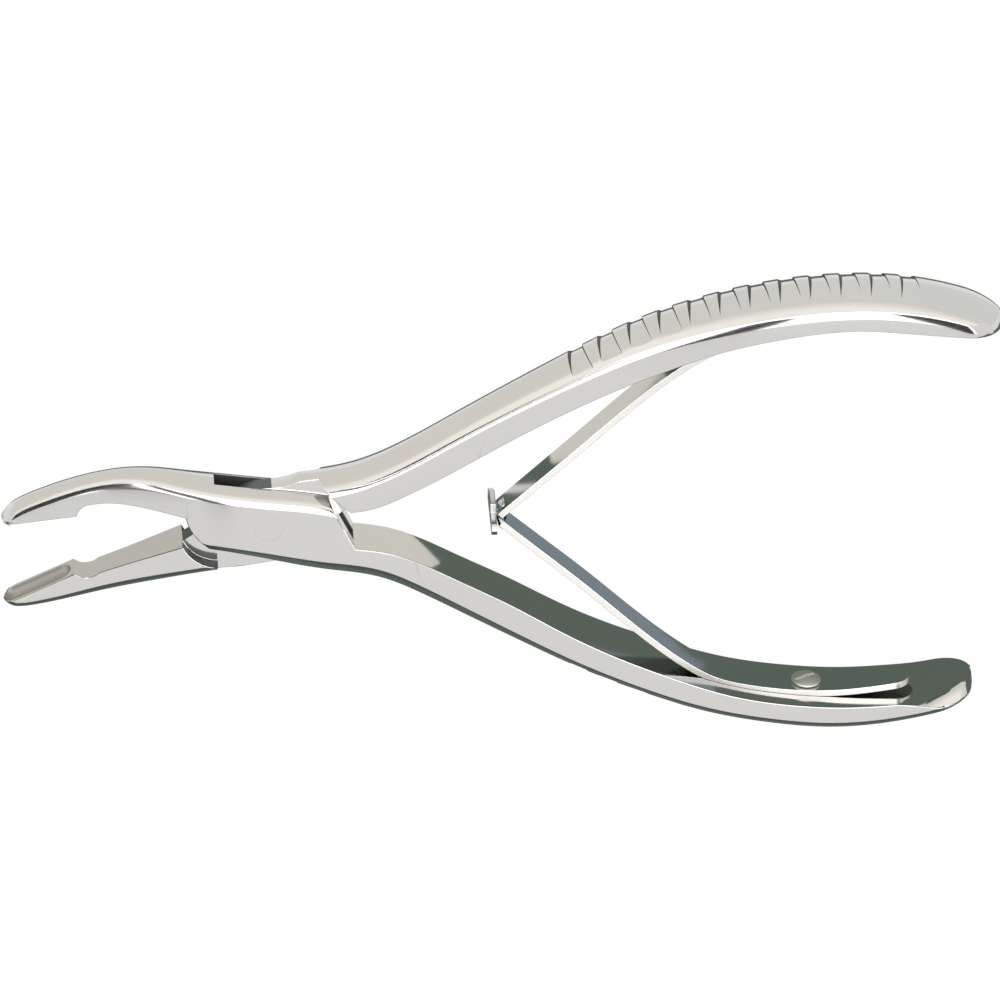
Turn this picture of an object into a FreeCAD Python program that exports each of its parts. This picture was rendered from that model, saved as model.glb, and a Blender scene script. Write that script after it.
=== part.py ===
import FreeCAD, Part
import math
import os
from FreeCAD import Vector

# A bone rongeur with a box lock, two cupped jaws and a double leaf spring.
# X runs from the jaws to the handles, Y from the lower handle to the upper one
# and Z along the pivot, which stands at X = 0 and Y = 0. All sizes are in mm.
# The instrument is drawn open, with its middle plane on Z = 0, and is lifted
# at the end so that the lower cheek face lies on Z = 0.

# Box lock
BOX_WIDTH = 7.2
SLOT_WIDTH = 2.8
SIDE_CLEARANCE = 0.05
PIN_RADIUS = 2.0
PIN_CLEARANCE = 0.04

# Jaws
CLOSING_ANGLE = 19.0
RIM_OFFSET = 4.9
RIM_ANGLE = 6.3
JAW_TIP_X = -37.5
CUP_RADIUS = 1.5
CUP_DEPTH = 1.0
CUP_START_X = -35.9
CUP_END_X = -29.4

# Springs
LEAF_THICKNESS = 1.0
FOOT_HALF_WIDTH = 3.0
TIP_HALF_WIDTH = 1.95
POCKET_CLEARANCE = 0.08
HEAD_X = 31.55
HEAD_Y = -0.53
HEAD_CORNER = 0.95
TIP_TOP_Y = 1.9
TAPER_END_X = 75
FORK_HALF_WIDTH = 1.1
FORK_LENGTH = 2.4
HEAD_HALF_WIDTH = 5.3
HEAD_HEIGHT = 2.0
HEAD_THICKNESS = 0.8

# Spring screws
SCREW_X = 76.1
SCREW_HEAD_RADIUS = 2.1
SCREW_HEAD_HEIGHT = 0.9
SCREW_RADIUS = 1.0
SCREW_LENGTH = 3.0
SCREW_FIT = 0.03
SEAT_CLEARANCE = 0.08
DRIVER_SLOT_WIDTH = 0.6
DRIVER_SLOT_DEPTH = 0.4

# Grip grooves
GROOVE_COUNT = 12
GROOVE_FIRST_X = 42.6
GROOVE_PITCH = 4.26
GROOVE_WIDTH = 1.8
GROOVE_DEPTH = 0.28

# Widths along X, shared by both halves so that their sides stay flush
JAW_WIDTH = 4.2
GRIP_WIDTH = 10.8
JAW_TAPER = (-25, -4)
GRIP_TAPER = (25, 75)
GRINDING_ALLOWANCE = 0.02
CHEEK_FLAT = (-4.5, 15)
GRIP_FLAT_X = 76

# Stations of the forged bars
FIRST_STATION = -38.2
STATION_STEP = 4.0

# Lines along which the flat sides meet the crowned backs, as X and Y
BOX_HALF_LOW = [(-38.2, -4), (-24, -3.2), (-14, -2.5), (-8, -3), (0, -4.55), (8, -6.4),
                (16, -8.4), (21.1, -10.6), (27, -13.9), (34.6, -18.5), (43, -23), (52, -27.2),
                (61.7, -30.8), (71, -33.1), (79.4, -33.7), (87.5, -33.1), (94, -31.7),
                (104, -28)]
BOX_HALF_HIGH = [(-38.2, 0.2), (-36, 2.4), (-33, 3.95), (-28.5, 5.5), (-24, 6.6), (-20, 7),
                 (-16, 6.7), (-12, 5.9), (-6, 4.75), (0, 3.8), (8, 2.4), (16, -0.4),
                 (27, -5.9), (43, -15), (61.7, -22.7), (79.4, -25.7), (104, -20)]
TONGUE_HALF_LOW = [(-38.2, -11.2), (-36.8, -12), (-35.2, -12.2), (-33, -11.85), (-24, -9.9),
                   (-14.6, -7.8),
                   (-7.6, -6.2), (0, -5), (12.7, -1.6), (26.5, 5.4), (43.6, 15), (60.4, 22.2),
                   (74.5, 24.9), (89, 24.8), (104, 21.3)]
TONGUE_HALF_HIGH = [(-38.2, -5), (-24, -2), (-14.6, 1), (-7.6, 3), (0, 4.4), (6.5, 5.2),
                    (12.7, 6.4), (18.3, 8.8), (26.5, 13.4), (35.2, 18.4), (43.6, 23),
                    (52, 27.1), (60.4, 30.1), (67.5, 31.9), (74.5, 32.9), (82.9, 33.2),
                    (89, 32.8), (96, 31.5), (104, 29.3)]

# How far the crowned backs stand above those lines
HIGH_RISE = [(-38.2, 0.9), (-24, 1.2), (-10, 1.45), (10, 1.7), (35, 2.2), (75, 2.6), (104, 2.2)]
LOW_RISE = [(-38.2, 0.9), (-14, 1.3), (0, 2.3), (40, 2.3), (75, 2.5), (104, 2.2)]

# Centre lines of the two leaf springs, from the hinge to the foot
LOWER_LEAF_LINE = [(32.75, -1.48), (38, -6.5), (45, -13.1), (50.7, -18.7), (54.9, -22.55),
                   (59.1, -25.6), (63.4, -27.75), (67.6, -28.9), (71.8, -29.75), (76, -30.2),
                   (80.2, -30.35), (84.5, -30.1), (88, -29.65), (90, -29.4)]
UPPER_LEAF_LINE = [(32.5, -0.2), (38.3, 5.5), (44, 11.1), (49.8, 16.75), (54.9, 21.5),
                   (58.5, 24.3), (62.5, 26.75), (67, 28.45), (71.5, 29.35), (77, 30.05),
                   (84, 30.4), (90, 29.85)]
POCKET_START_X = 56.0

# Handle ends: where each handle stops along X.
BOX_TAIL_X = 99.8
TONGUE_TAIL_X = 102.8


def flat(points):
    return [Vector(x, y, 0) for x, y in points]


def smooth(points):
    curve = Part.BSplineCurve()
    curve.interpolate(flat(points))
    return curve


def spot_at(curve, x):
    """Point where a curve that runs toward +X reaches x, and its lean in degrees."""
    low, high = curve.FirstParameter, curve.LastParameter
    for _ in range(40):
        middle = (low + high) / 2
        if curve.value(middle).x < x:
            low = middle
        else:
            high = middle
    ahead = curve.tangent(low)[0]
    return curve.value(low), math.degrees(math.atan2(ahead.y, ahead.x))


def run(points):
    """Two points make a line, three an arc and more a smooth curve."""
    spots = flat(points)
    if len(spots) == 2:
        return Part.makeLine(spots[0], spots[1])
    if len(spots) == 3:
        return Part.Arc(spots[0], spots[1], spots[2]).toShape()
    return smooth(points).toShape()


def prism(runs, low, high):
    """Closed outline in the XY plane, made solid between two heights."""
    face = Part.Face(Part.Wire([run(points) for points in runs]))
    face.translate(Vector(0, 0, low))
    return face.extrude(Vector(0, 0, high - low))


def polygon_prism(points, low, high):
    sides = zip(points, points[1:] + points[:1])
    return prism([[first, last] for first, last in sides], low, high)


def plan_prism(runs):
    """Closed outline drawn in the XZ plane, made solid along Y."""
    solid = prism(runs, -60, 60)
    solid.rotate(Vector(0, 0, 0), Vector(1, 0, 0), 90)
    return solid


def eased(x, span, first, last):
    """Smooth change from one size to another over a span of X."""
    share = min(max((x - span[0]) / (span[1] - span[0]), 0), 1)
    return first + (last - first) * share * share * (3 - 2 * share)


def half_width(x):
    jaw = eased(x, JAW_TAPER, JAW_WIDTH, BOX_WIDTH)
    grip = eased(x, GRIP_TAPER, 0, GRIP_WIDTH - BOX_WIDTH)
    return (jaw + grip) / 2


def crown(x, width, corner, peak):
    """Arc of one crowned back, from the near side to the far side."""
    return Part.Arc(Vector(x, corner, width), Vector(x, peak, 0),
                    Vector(x, corner, -width)).toShape()


def height(line, x):
    return spot_at(smooth(line), x)[0].y


def section(x, low_line, high_line):
    width = half_width(x) + GRINDING_ALLOWANCE
    low = height(low_line, x)
    high = height(high_line, x)
    bottom = crown(x, width, low, low - height(LOW_RISE, x))
    top = crown(x, width, high, high + height(HIGH_RISE, x))
    near = Part.makeLine(Vector(x, low, width), Vector(x, high, width))
    far = Part.makeLine(Vector(x, low, -width), Vector(x, high, -width))
    return Part.Wire([near, top, far, bottom])


def blank(low_line, high_line):
    """Forged bar of one half, crowned on both backs, before the flats are cut."""
    count = math.ceil((low_line[-1][0] - FIRST_STATION) / STATION_STEP)
    step = (low_line[-1][0] - FIRST_STATION) / count
    stations = [FIRST_STATION + index * step for index in range(count + 1)]
    return Part.makeLoft([section(x, low_line, high_line) for x in stations], True, False)


def plan_of_half(tail_x):
    """Seen from above: a round nose, ground cheeks and a rounded handle end."""
    nose = JAW_WIDTH / 2
    nose_x = JAW_TIP_X + nose
    cheek = BOX_WIDTH / 2
    grip = GRIP_WIDTH / 2
    side = 20
    turn_x = tail_x - grip
    near = [(nose_x, nose), (nose_x, side), (CHEEK_FLAT[0], side), (CHEEK_FLAT[0], cheek),
            (CHEEK_FLAT[1], cheek), (CHEEK_FLAT[1], side), (GRIP_FLAT_X, side),
            (GRIP_FLAT_X, grip), (turn_x, grip)]
    far = [(x, -z) for x, z in near[::-1]]
    runs = [[first, last] for first, last in zip(near, near[1:])]
    runs.append([(turn_x, grip), (tail_x, 0), (turn_x, -grip)])
    runs += [[first, last] for first, last in zip(far, far[1:])]
    runs.append([(nose_x, -nose), (JAW_TIP_X, 0), (nose_x, nose)])
    return plan_prism(runs)


def rim_y(x, angle):
    """Height of a cup rim: both rim lines touch one circle about the pivot."""
    slope = math.radians(angle)
    return RIM_OFFSET / math.cos(slope) + x * math.tan(slope)


def box_half_outline():
    start = (-45, rim_y(-45, RIM_ANGLE))
    heel = (-26.8, rim_y(-26.8, RIM_ANGLE))
    return [
        [start, heel],
        [heel, (-26.3, 3.1), (-25.3, 3.75)],
        [(-25.3, 3.75), (-23.3, 4.0), (-19, 3.65), (-14.6, 2.6), (-11.6, 1.75)],
        [(-11.6, 1.75), (-10.6, -0.9), (-8.8, -2.9)],
        [(-8.8, -2.9), (-7.4, -6)],
        [(-7.4, -6), (-7.4, -50)],
        [(-7.4, -50), (96, -50)],
        [(96, -50), (96, -35)],
        [(96, -35), (99.2, -31.4), (BOX_TAIL_X, -27.5)],
        [(BOX_TAIL_X, -27.5), (94, -29.9), (87.5, -31), (81.1, -31.3), (74.6, -30.7), (64.9, -28.6),
         (57, -26.2), (48.3, -22.4), (40.5, -18.1), (34.1, -14), (26.7, -9.9), (21.1, -6.9),
         (16.4, -5), (12.1, -3.9)],
        [(12.1, -3.9), (9.75, 1.0), (7.7, 5.2)],
        [(7.7, 5.2), (7.2, 20)],
        [(7.2, 20), (-45, 20)],
        [(-45, 20), start]]


def tongue_half_outline():
    angle = RIM_ANGLE + CLOSING_ANGLE
    start = (-45, rim_y(-45, angle))
    heel = (-27.4, rim_y(-27.4, angle))
    return [
        [start, heel],
        [heel, (-26.6, -8.0)],
        [(-26.6, -8.0), (-25.6, -8.15), (-23.9, -7.4)],
        [(-23.9, -7.4), (-12.1, -3.0)],
        [(-12.1, -3.0), (-5.6, 1.6)],
        [(-5.6, 1.6), (-4.3, 4.0), (-1.8, 5.1), (1.8, 5.4), (5, 6.5)],
        [(5, 6.5), (5, 60)],
        [(5, 60), (99, 60)],
        [(99, 60), (99, 35)],
        [(99, 35), (102.1, 32.2), (TONGUE_TAIL_X, 28.8)],
        [(TONGUE_TAIL_X, 28.8), (94.2, 29.8), (88.5, 30.5), (82.9, 30.9), (77.3, 30.6), (68.8, 29.3),
         (63.2, 27.9), (57.6, 25.9), (49.2, 22.2), (40.8, 17.8), (32.3, 12.8), (23.9, 7.6),
         (18.3, 4.4), (14.8, 2.8), (11.5, 2.1)],
        [(11.5, 2.1), (6, -3.4)],
        [(6, -3.4), (4.6, -5.2), (2.2, -6.5)],
        [(2.2, -6.5), (-2.5, -6.9), (-7.2, -6.4)],
        [(-7.2, -6.4), (-7.2, -60)],
        [(-7.2, -60), (-45, -60)],
        [(-45, -60), start]]


def cup(angle, upward):
    """Round-bottomed bite pocket, milled along the rim with a ball end."""
    slope = math.radians(angle)
    lift = CUP_RADIUS - CUP_DEPTH
    side = 1 if upward else -1
    first = Vector(CUP_START_X, rim_y(CUP_START_X, angle), 0)
    last = Vector(CUP_END_X, rim_y(CUP_END_X, angle), 0)
    shift = Vector(-math.sin(slope), math.cos(slope), 0) * (side * lift)
    first, last = first + shift, last + shift
    along = last - first
    tool = Part.makeCylinder(CUP_RADIUS, along.Length, first, along)
    for end in (first, last):
        tool = tool.fuse(Part.makeSphere(CUP_RADIUS, end))
    return tool


def grooves(line, rise, side):
    """Row of flat-bottomed grip grooves sunk into one crowned back."""
    bottom = -GROOVE_DEPTH if side > 0 else GROOVE_DEPTH - 2
    tools = []
    for index in range(GROOVE_COUNT):
        x = GROOVE_FIRST_X + index * GROOVE_PITCH
        spot, lean = spot_at(smooth(line), x)
        box = Part.makeBox(GROOVE_WIDTH, 2, 12, Vector(0, bottom, -6))
        box.rotate(Vector(0, 0, 0), Vector(0, 0, 1), lean)
        box.translate(spot + Vector(0, side * height(rise, x), 0))
        tools.append(box)
    return tools


def strip(points, left, right):
    """Band along a centre line, reaching left and right of it by given amounts."""
    curve = smooth(points)
    left_side, right_side = [], []
    for x, y in points:
        spot = Vector(x, y, 0)
        ahead = curve.tangent(curve.parameter(spot))[0]
        normal = Vector(-ahead.y, ahead.x, 0)
        upper = spot + normal * left
        lower = spot - normal * right
        left_side.append((upper.x, upper.y))
        right_side.append((lower.x, lower.y))
    return [left_side, [left_side[-1], right_side[-1]], right_side[::-1],
            [right_side[0], left_side[0]]]


def leaf_plan(line, extra):
    """Leaf seen square on: tapered to the hinge, round at the foot."""
    wide = FOOT_HALF_WIDTH + extra
    thin = TIP_HALF_WIDTH + extra
    start = line[0][0] - 3
    end = line[-1][0] + extra
    turn = end - wide
    return plan_prism([
        [(start, thin), (start, -thin)],
        [(start, -thin), (TAPER_END_X, -wide)],
        [(TAPER_END_X, -wide), (turn, -wide)],
        [(turn, -wide), (end, 0), (turn, wide)],
        [(turn, wide), (TAPER_END_X, wide)],
        [(TAPER_END_X, wide), (start, thin)]])


def leaf_blank(line):
    half = LEAF_THICKNESS / 2
    band = prism(strip(line, half, half), -6, 6)
    return band.common(leaf_plan(line, 0))


def spring_pocket(line, opens_up):
    """Shallow seat for a spring foot, open toward the other handle."""
    deep = LEAF_THICKNESS / 2 + POCKET_CLEARANCE
    left, right = (4, deep) if opens_up else (deep, 4)
    tool = prism(strip(line, left, right), -6, 6)
    limit = Part.makeBox(60, 120, 12, Vector(POCKET_START_X, -60, -6))
    return tool.common(leaf_plan(line, POCKET_CLEARANCE)).common(limit)


def placed(shape, line, upside_down):
    """Turn a shape drawn along +Y onto the seat of a spring screw."""
    spot, lean = spot_at(smooth(line), SCREW_X)
    shape = shape.copy()
    turn = lean + (180 if upside_down else 0)
    shape.rotate(Vector(0, 0, 0), Vector(0, 0, 1), turn)
    shape.translate(spot)
    return shape


def upright(radius, low, high):
    return Part.makeCylinder(radius, high - low, Vector(0, low, 0), Vector(0, 1, 0))


def spring_screw(line, upside_down):
    """Slotted screw with a low domed head, drawn with its seat under the head."""
    seat = LEAF_THICKNESS / 2 + SEAT_CLEARANCE
    shank = upright(SCREW_RADIUS, seat - SCREW_LENGTH, seat)
    head = upright(SCREW_HEAD_RADIUS, seat, seat + SCREW_HEAD_HEIGHT)
    dome_radius = 4.5
    dome = Part.makeSphere(dome_radius, Vector(0, seat + SCREW_HEAD_HEIGHT - dome_radius, 0))
    head = head.common(dome)
    slot = Part.makeBox(DRIVER_SLOT_WIDTH, DRIVER_SLOT_DEPTH, 6,
                        Vector(-DRIVER_SLOT_WIDTH / 2, seat + SCREW_HEAD_HEIGHT
                               - DRIVER_SLOT_DEPTH, -3))
    slot.rotate(Vector(0, 0, 0), Vector(0, 1, 0), -60)
    screw = shank.fuse(head).cut(slot).removeSplitter()
    return placed(screw, line, upside_down)


def screw_hole(line, radius, upside_down):
    return placed(upright(radius, -SCREW_LENGTH - 0.2, 3), line, upside_down)


def slot_tool():
    """Opening between the cheeks in which the tongue swings."""
    half = SLOT_WIDTH / 2
    return polygon_prism([(-7.5, 20), (-7.5, 3.5), (-14, 2.4), (-14, -20), (7.5, -20),
                          (7.5, -4.5), (13.5, -3.4), (13.5, 20)], -half, half)


def cheek_room():
    """Room on both sides of the tongue for the two cheeks of the box."""
    outline = [
        [(-12.1, -3.0), (-10.4, -5.2), (-7.2, -6.4)],
        [(-7.2, -6.4), (-7.0, -20)],
        [(-7.0, -20), (30, -20)],
        [(30, -20), (11.5, 2.1)],
        [(11.5, 2.1), (8.95, 4.45), (6.5, 7.7)],
        [(6.5, 7.7), (6.2, 30)],
        [(6.2, 30), (-30, 30)],
        [(-30, 30), (-12.1, -3.0)]]
    half = SLOT_WIDTH / 2 - SIDE_CLEARANCE
    return prism(outline, half, 12).fuse(prism(outline, -12, -half))


def pivot_bore(radius):
    return Part.makeCylinder(radius, 20, Vector(0, 0, -10))


def make_box_half():
    body = blank(BOX_HALF_LOW, BOX_HALF_HIGH).common(prism(box_half_outline(), -15, 15))
    body = body.common(plan_of_half(BOX_TAIL_X))
    tools = [slot_tool(), pivot_bore(PIN_RADIUS), cup(RIM_ANGLE, False)]
    tools.append(spring_pocket(LOWER_LEAF_LINE, True))
    tools.append(screw_hole(LOWER_LEAF_LINE, SCREW_RADIUS + SCREW_FIT, False))
    tools += grooves(BOX_HALF_LOW, LOW_RISE, -1)
    return body.cut(tools)


def make_tongue_half():
    body = blank(TONGUE_HALF_LOW, TONGUE_HALF_HIGH).common(prism(tongue_half_outline(), -15, 15))
    body = body.common(plan_of_half(TONGUE_TAIL_X))
    angle = RIM_ANGLE + CLOSING_ANGLE
    tools = [cheek_room(), pivot_bore(PIN_RADIUS + PIN_CLEARANCE), cup(angle, True)]
    tools.append(spring_pocket(UPPER_LEAF_LINE, False))
    tools.append(screw_hole(UPPER_LEAF_LINE, SCREW_RADIUS + SCREW_FIT, True))
    tools += grooves(TONGUE_HALF_HIGH, HIGH_RISE, 1)
    return body.cut(tools)


def make_pin():
    """Riveted pivot pin, ground flush with both cheeks."""
    return Part.makeCylinder(PIN_RADIUS, BOX_WIDTH, Vector(0, 0, -BOX_WIDTH / 2))


def make_lower_leaf():
    """Spring leaf whose upturned T tip bears on the forked end of the other leaf."""
    line = LOWER_LEAF_LINE
    leaf = leaf_blank(line)
    near_x = HEAD_X + HEAD_THICKNESS / 2
    far_x = HEAD_X - HEAD_THICKNESS / 2
    tip = polygon_prism([(far_x, TIP_TOP_Y), (far_x, -0.64), (32.4, -1.84), (32.9, -2.32),
                         (33.58, -1.58), (33.1, -1.12), (near_x, -0.02), (near_x, TIP_TOP_Y)],
                        -TIP_HALF_WIDTH, TIP_HALF_WIDTH)
    head = Part.makeBox(HEAD_THICKNESS, HEAD_HEIGHT, 2 * HEAD_HALF_WIDTH,
                        Vector(far_x, HEAD_Y - HEAD_HEIGHT / 2, -HEAD_HALF_WIDTH))
    corners = [edge for edge in head.Edges
               if abs(edge.Vertexes[0].X - edge.Vertexes[-1].X) > 0.5 * HEAD_THICKNESS]
    head = head.makeFillet(HEAD_CORNER, corners)
    leaf = leaf.fuse([tip, head])
    leaf = leaf.cut(screw_hole(line, SCREW_RADIUS + 0.1, False))
    return leaf.removeSplitter()


def make_upper_leaf():
    """Spring leaf with a forked end that straddles the neck of the other leaf."""
    line = UPPER_LEAF_LINE
    leaf = leaf_blank(line)
    notch = Part.makeBox(FORK_LENGTH, 4, 2 * FORK_HALF_WIDTH,
                         Vector(-1, -2, -FORK_HALF_WIDTH))
    notch.rotate(Vector(0, 0, 0), Vector(0, 0, 1), 45)
    notch.translate(Vector(line[0][0], line[0][1], 0))
    leaf = leaf.cut([notch, screw_hole(line, SCREW_RADIUS + 0.1, True)])
    return leaf.removeSplitter()


def write_parts():
    os.makedirs("parts", exist_ok=True)
    pieces = {
        "box_half": make_box_half(),
        "tongue_half": make_tongue_half(),
        "pivot_pin": make_pin(),
        "lower_leaf_spring": make_lower_leaf(),
        "upper_leaf_spring": make_upper_leaf(),
        "lower_spring_screw": spring_screw(LOWER_LEAF_LINE, False),
        "upper_spring_screw": spring_screw(UPPER_LEAF_LINE, True)}
    for name, shape in pieces.items():
        shape = shape.copy()
        shape.translate(Vector(0, 0, BOX_WIDTH / 2))
        solid = shape.Solids[0] if len(shape.Solids) == 1 else shape
        box = solid.BoundBox
        print(name, len(shape.Solids), round(solid.Volume, 2), solid.isValid(),
              [round(v, 2) for v in (box.XMin, box.XMax, box.YMin, box.YMax, box.ZMin, box.ZMax)])
        solid.exportStep("parts/" + name + ".step")


write_parts()
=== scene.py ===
# %% [markdown]
# # A bone rongeur
# A bone rongeur is a pair of strong surgical pliers whose two cupped jaws bite away small
# pieces of bone. It has two forged halves that cross in a box lock, a riveted pivot pin,
# and two spring leaves between the handles, each held by one screw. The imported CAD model
# is loaded as a fixed frame, and every piece is then remodelled with the rounded edges,
# the cut grooves and the polish that the real steel has.

# %% Load the frame
import math

import bpy
import numpy as np
from mathutils import Matrix, Vector


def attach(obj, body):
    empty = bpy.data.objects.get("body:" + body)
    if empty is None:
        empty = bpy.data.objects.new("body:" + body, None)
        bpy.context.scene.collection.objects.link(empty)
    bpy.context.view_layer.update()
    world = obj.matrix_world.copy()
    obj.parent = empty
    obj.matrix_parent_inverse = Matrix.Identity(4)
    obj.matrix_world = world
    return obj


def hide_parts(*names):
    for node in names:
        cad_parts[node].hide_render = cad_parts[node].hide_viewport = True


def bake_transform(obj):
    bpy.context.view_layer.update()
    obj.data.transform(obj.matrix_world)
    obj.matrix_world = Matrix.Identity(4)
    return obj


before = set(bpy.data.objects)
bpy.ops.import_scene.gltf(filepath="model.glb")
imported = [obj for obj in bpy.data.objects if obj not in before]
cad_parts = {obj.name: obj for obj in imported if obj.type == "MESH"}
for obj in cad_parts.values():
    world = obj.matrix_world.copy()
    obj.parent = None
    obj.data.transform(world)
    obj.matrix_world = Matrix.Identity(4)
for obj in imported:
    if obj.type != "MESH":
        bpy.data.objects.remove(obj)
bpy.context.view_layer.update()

# %% [markdown]
# ## Drawing in millimetres
# The instrument is 140 mm long and its finest edges are a tenth of a millimetre, so it is
# drawn in millimetres about the middle plane of the lock, and each finished piece is then
# brought to metres. Fair curves through a few knots stand for the forger's templates.
# A cubic spline is chosen because it bends as evenly as a real forging does.

# %% Curves
def fair(places, values):
    """Natural cubic spline through values at rising places."""
    places, values = np.array(places, float), np.array(values, float)
    gaps = np.diff(places)
    slopes = np.diff(values) / gaps
    system, right = np.eye(len(places)), np.zeros(len(places))
    for i in range(1, len(places) - 1):
        system[i, i - 1:i + 2] = gaps[i - 1], 2 * (gaps[i - 1] + gaps[i]), gaps[i]
        right[i] = 6 * (slopes[i] - slopes[i - 1])
    bends = np.linalg.solve(system, right)

    def value(place):
        i = int(np.clip(np.searchsorted(places, place) - 1, 0, len(gaps) - 1))
        left, rest, gap = place - places[i], places[i + 1] - place, gaps[i]
        cubic = (bends[i] * rest ** 3 + bends[i + 1] * left ** 3) / (6 * gap)
        start = (values[i] / gap - bends[i] * gap / 6) * rest
        return float(cubic + start + (values[i + 1] / gap - bends[i + 1] * gap / 6) * left)
    return value


def guide(knots):
    """Height of a guide line by its X."""
    return fair([x for x, _ in knots], [y for _, y in knots])


def smooth_run(points, step=0.8):
    """Evenly spaced points on a smooth curve through the given ones."""
    steps = [math.dist(a, b) for a, b in zip(points, points[1:])]
    places = np.concatenate([[0], np.cumsum(steps)])
    across = fair(places, [x for x, _ in points])
    up = fair(places, [y for _, y in points])
    count = max(2, round(places[-1] / step))
    return [(across(s), up(s)) for s in np.linspace(0, places[-1], count + 1)]


def arc_run(first, through, last, count=10):
    """Points on the arc through three points."""
    (ax, ay), (bx, by), (cx, cy) = first, through, last
    rows = np.array([[bx - ax, by - ay], [cx - ax, cy - ay]]) * 2
    sums = np.array([bx * bx + by * by - ax * ax - ay * ay, cx * cx + cy * cy - ax * ax - ay * ay])
    middle = np.linalg.solve(rows, sums)
    radius = math.dist(middle, first)
    angles = [math.atan2(y - middle[1], x - middle[0]) for x, y in (first, through, last)]
    turns = [(angle - angles[0]) % math.tau for angle in angles]
    sweep = turns[2] if turns[1] < turns[2] else turns[2] - math.tau
    return [(middle[0] + radius * math.cos(angles[0] + sweep * i / count),
             middle[1] + radius * math.sin(angles[0] + sweep * i / count))
            for i in range(count + 1)]


def outline(runs):
    """Closed outline: two points make a line, three an arc and more a smooth curve."""
    spots = []
    for points in runs:
        if len(points) == 2:
            spots += points[:1]
        elif len(points) == 3:
            spots += arc_run(*points)[:-1]
        else:
            spots += smooth_run(points)[:-1]
    return spots


def eased(x, span, first, last):
    """Value that goes softly from first to last while x crosses the span."""
    share = min(max((x - span[0]) / (span[1] - span[0]), 0), 1)
    return first + (last - first) * share * share * (3 - 2 * share)


print("a fair curve through three knots gives", fair([0, 1, 2], [0, 1, 0])(0.5))

# %% [markdown]
# ## Workshop helpers
# Three helpers do what a workshop does. `plate` extrudes an outline, like a profile cut
# from bar. `skin` wraps a grid round a row of sections, like a forging between dies.
# `carve` is the milling cutter: an exact boolean modifier that is applied at once.
# Booleans are chosen over hand-built topology because the real lock is milled too, and
# every mating face then comes from one cutter.

# %% Helpers
MM = 0.001
MIDDLE_Z = 3.6


def select_only(piece):
    bpy.ops.object.select_all(action="DESELECT")
    piece.select_set(True)
    bpy.context.view_layer.objects.active = piece


def edit(piece, *steps):
    """Run edit-mode operators on the whole piece."""
    select_only(piece)
    bpy.ops.object.mode_set(mode="EDIT")
    bpy.ops.mesh.select_all(action="SELECT")
    for step, settings in steps:
        step(**settings)
    bpy.ops.object.mode_set(mode="OBJECT")


def plate(name, points, low, high):
    """Outline extruded along Z."""
    bpy.ops.object.select_all(action="DESELECT")
    bpy.ops.mesh.primitive_circle_add(vertices=len(points), fill_type="NGON")
    piece = bpy.context.object
    piece.name = name
    for vertex, (x, y) in zip(piece.data.vertices, points):
        vertex.co = (x, y, low)
    rise = {"value": (0, 0, high - low)}
    edit(piece, (bpy.ops.mesh.extrude_region_move, {"TRANSFORM_OT_translate": rise}),
         (bpy.ops.mesh.select_all, {"action": "SELECT"}),
         (bpy.ops.mesh.normals_make_consistent, {"inside": False}))
    return piece


def skin(name, rings):
    """Closed solid through a row of equal rings of points."""
    across = len(rings[0])
    bpy.ops.object.select_all(action="DESELECT")
    bpy.ops.mesh.primitive_grid_add(x_subdivisions=across, y_subdivisions=len(rings) - 1)
    piece = bpy.context.object
    piece.name = name
    for index, vertex in enumerate(piece.data.vertices):
        row, column = divmod(index, across + 1)
        vertex.co = rings[row][column % across]
    edit(piece, (bpy.ops.mesh.remove_doubles, {"threshold": 0.0001}),
         (bpy.ops.mesh.fill_holes, {"sides": 0}),
         (bpy.ops.mesh.select_all, {"action": "SELECT"}),
         (bpy.ops.mesh.normals_make_consistent, {"inside": False}))
    return piece


def modify(piece, kind, **settings):
    """Add a modifier and apply it at once."""
    modifier = piece.modifiers.new(kind.lower(), kind)
    for key, value in settings.items():
        setattr(modifier, key, value)
    select_only(piece)
    bpy.ops.object.modifier_apply(modifier=modifier.name)


def carve(piece, tool, operation="DIFFERENCE"):
    modify(piece, "BOOLEAN", object=tool, operation=operation, solver="EXACT",
           material_mode="TRANSFER")
    bpy.data.objects.remove(tool)


def upright(name, radius, low, high, sides=96):
    """Cylinder along Z."""
    bpy.ops.object.select_all(action="DESELECT")
    bpy.ops.mesh.primitive_cylinder_add(vertices=sides, radius=radius, depth=high - low,
                                        location=(0, 0, (low + high) / 2))
    piece = bpy.context.object
    piece.name = name
    bpy.ops.object.transform_apply(location=True)
    return piece


def loose_edges(piece):
    """Edges without exactly two faces: none on a closed solid."""
    uses = {}
    for face in piece.data.polygons:
        for key in face.edge_keys:
            uses[key] = uses.get(key, 0) + 1
    return sum(1 for count in uses.values() if count != 2)


test = plate("test", [(0, 0), (2, 0), (1, 1), (0, 2)], 0, 1)
print("a test plate has", loose_edges(test), "loose edges")
bpy.data.objects.remove(test)

# %% [markdown]
# ## The forged bar
# Each half starts as a hot-forged bar: flat sides, crowned backs and edges that hand
# polishing has rounded, more at the grips than at the jaws. It could be a box with a
# bevel, but the crown and the rounding change along it. So each section is worked out
# from its guide lines, and a grid is wrapped round the sections.

# %% The forged bar
BOX_WIDTH = 7.2
JAW_WIDTH = 4.2
GRIP_WIDTH = 10.8
JAW_TIP_X = -37.5
HIGH_RISE = guide([(-38.2, 0.9), (-24, 1.2), (-10, 1.45), (10, 1.7), (35, 2.2), (75, 2.6),
                   (104, 2.2)])
LOW_RISE = guide([(-38.2, 0.9), (-14, 1.3), (0, 2.3), (40, 2.3), (75, 2.5), (104, 2.2)])


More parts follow.
